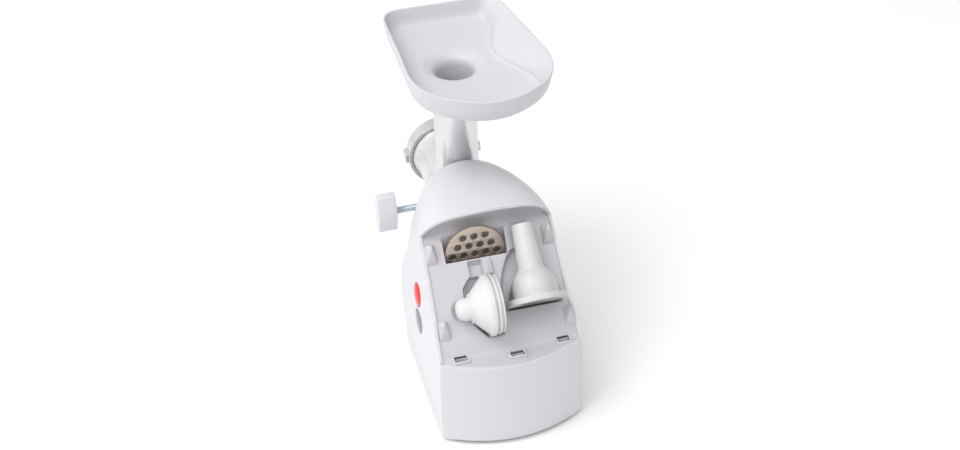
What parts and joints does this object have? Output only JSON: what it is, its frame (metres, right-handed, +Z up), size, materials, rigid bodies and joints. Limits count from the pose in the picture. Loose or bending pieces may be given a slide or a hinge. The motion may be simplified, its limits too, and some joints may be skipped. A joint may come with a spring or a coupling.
{
  "type": "electric meat grinder",
  "caption": "Countertop electric meat grinder with a metal grinding head, hopper tray, push buttons and an open rear bay that stores a filling tube, a forming cone and a spare plate.",
  "frame": {"origin": "middle of the whole object's footprint box, on the surface that the feet stand on", "axes": "+Z up; the grinding head points along -Y and the storage bay faces +Y; the push buttons and the lock knob are on the +X side"},
  "size_m": [0.1912, 0.3398, 0.348],
  "materials": {
    "white_gloss": "gloss",
    "white_inner": "satin",
    "rubber_foot": "matt",
    "cast_aluminium": "polished and brushed",
    "red_button": "gloss",
    "mauve_button": "gloss",
    "black_plastic": "matt",
    "zinc_steel": "zinc plated",
    "steel": "brushed",
    "nylon_gear": "satin",
    "copper": "copper",
    "tray_plastic": "satin gloss",
    "tube_plastic": "satin"
  },
  "bodies": {
    "housing": {"housing_shell": "white_gloss", "storage_tray": "white_gloss", "base_plate": "white_inner", "foot_1": "rubber_foot", "foot_2": "rubber_foot", "foot_3": "rubber_foot", "foot_4": "rubber_foot", "socket_collar": "cast_aluminium", "switch_block": "black_plastic", "cord_gland": "black_plastic", "lock_nut": "zinc_steel", "gear_case": "black_plastic", "gear_cover": "black_plastic", "output_bearing": "steel", "front_motor_bearing": "steel", "rear_motor_bearing": "steel", "rear_bracket": "cast_aluminium", "stator_core": "steel", "upper_field_coil": "copper", "lower_field_coil": "copper", "left_brush": "black_plastic", "right_brush": "black_plastic", "left_brush_holder": "copper", "right_brush_holder": "copper", "idler_axle": "steel"},
    "start_key": {"start_button": "red_button"},
    "reverse_key": {"reverse_button": "mauve_button"},
    "lock_tip": {"lock_shoe": "steel"},
    "lock_handle": {"lock_screw": "zinc_steel", "lock_knob": "white_gloss"},
    "head": {"grinder_head": "cast_aluminium", "auger_bush": "nylon_gear"},
    "worm": {"auger": "cast_aluminium", "knife": "steel"},
    "front_plate": {"grinding_plate": "steel"},
    "nut": {"ring_nut": "cast_aluminium"},
    "hopper": {"hopper_tray": "tray_plastic"},
    "filling_tube": {"sausage_tube": "tube_plastic"},
    "cone": {"forming_cone": "tray_plastic"},
    "spare_plate": {"stored_plate": "steel"},
    "output": {"output_gear": "nylon_gear", "output_shaft": "steel"},
    "idler": {"idler_gear": "nylon_gear", "idler_pinion": "steel"},
    "rotor": {"motor_pinion": "steel", "motor_shaft": "steel", "rotor_core": "steel", "commutator": "copper", "cooling_fan": "white_inner"}
  },
  "joints": [
    {"name": "output_spin", "type": "hinge", "parent": "housing", "child": "output", "pos_m": [-0.00343, 0.00185, 0.167], "axis": [0, 1, 0], "continuous": true},
    {"name": "idler_spin", "type": "hinge", "parent": "housing", "child": "idler", "pos_m": [-0.00343, 0.00185, 0.11762], "axis": [0, 1, 0], "continuous": true},
    {"name": "rotor_spin", "type": "hinge", "parent": "housing", "child": "rotor", "pos_m": [-0.00343, 0.04685, 0.06882], "axis": [0, 1, 0], "continuous": true},
    {"name": "head_slide", "type": "slide", "parent": "housing", "child": "head", "axis": [0, -1, 0], "range_m": [0, 0.04]},
    {"name": "worm_spin", "type": "hinge", "parent": "head", "child": "worm", "pos_m": [-0.00343, -0.09315, 0.167], "axis": [0, 1, 0], "continuous": true},
    {"name": "plate_travel", "type": "slide", "parent": "head", "child": "front_plate", "axis": [0, -1, 0], "range_m": [0, 0.012]},
    {"name": "ring_nut_turn", "type": "hinge", "parent": "front_plate", "child": "nut", "pos_m": [-0.00343, -0.14715, 0.167], "axis": [0, -1, 0], "range_deg": [0, 1440]},
    {"name": "hopper_lift", "type": "slide", "parent": "head", "child": "hopper", "axis": [0, 0, 1], "range_m": [0, 0.05]},
    {"name": "lock_travel", "type": "slide", "parent": "housing", "child": "lock_tip", "axis": [1, 0, 0], "range_m": [0, 0.008]},
    {"name": "lock_turn", "type": "hinge", "parent": "lock_tip", "child": "lock_handle", "pos_m": [0.05657, -0.04515, 0.169], "axis": [1, 0, 0], "range_deg": [0, 2304]},
    {"name": "start_press", "type": "slide", "parent": "housing", "child": "start_key", "axis": [-1, 0, 0], "range_m": [0, 0.0032], "stiffness_N_per_m": 700, "springref_m": -0.001},
    {"name": "reverse_press", "type": "slide", "parent": "housing", "child": "reverse_key", "axis": [-1, 0, 0], "range_m": [0, 0.0032], "stiffness_N_per_m": 700, "springref_m": -0.001},
    {"name": "filling_tube_lift", "type": "slide", "parent": "housing", "child": "filling_tube", "axis": [0, 0.6909, 0.723], "range_m": [0, 0.05]},
    {"name": "cone_lift", "type": "slide", "parent": "housing", "child": "cone", "axis": [0, 0.6909, 0.723], "range_m": [0, 0.05]},
    {"name": "spare_plate_lift", "type": "slide", "parent": "housing", "child": "spare_plate", "axis": [0, 0.0799, 0.9968], "range_m": [0, 0.015]}
  ],
  "couplings": [
    {"joint": "idler_spin", "follows": "output_spin", "ratio": -4.8889},
    {"joint": "rotor_spin", "follows": "output_spin", "ratio": 26.074},
    {"joint": "worm_spin", "follows": "output_spin", "ratio": 1},
    {"joint": "ring_nut_turn", "follows": "plate_travel", "rad_per_m": 2094.4},
    {"joint": "lock_turn", "follows": "lock_travel", "rad_per_m": 5026.5}
  ]
}
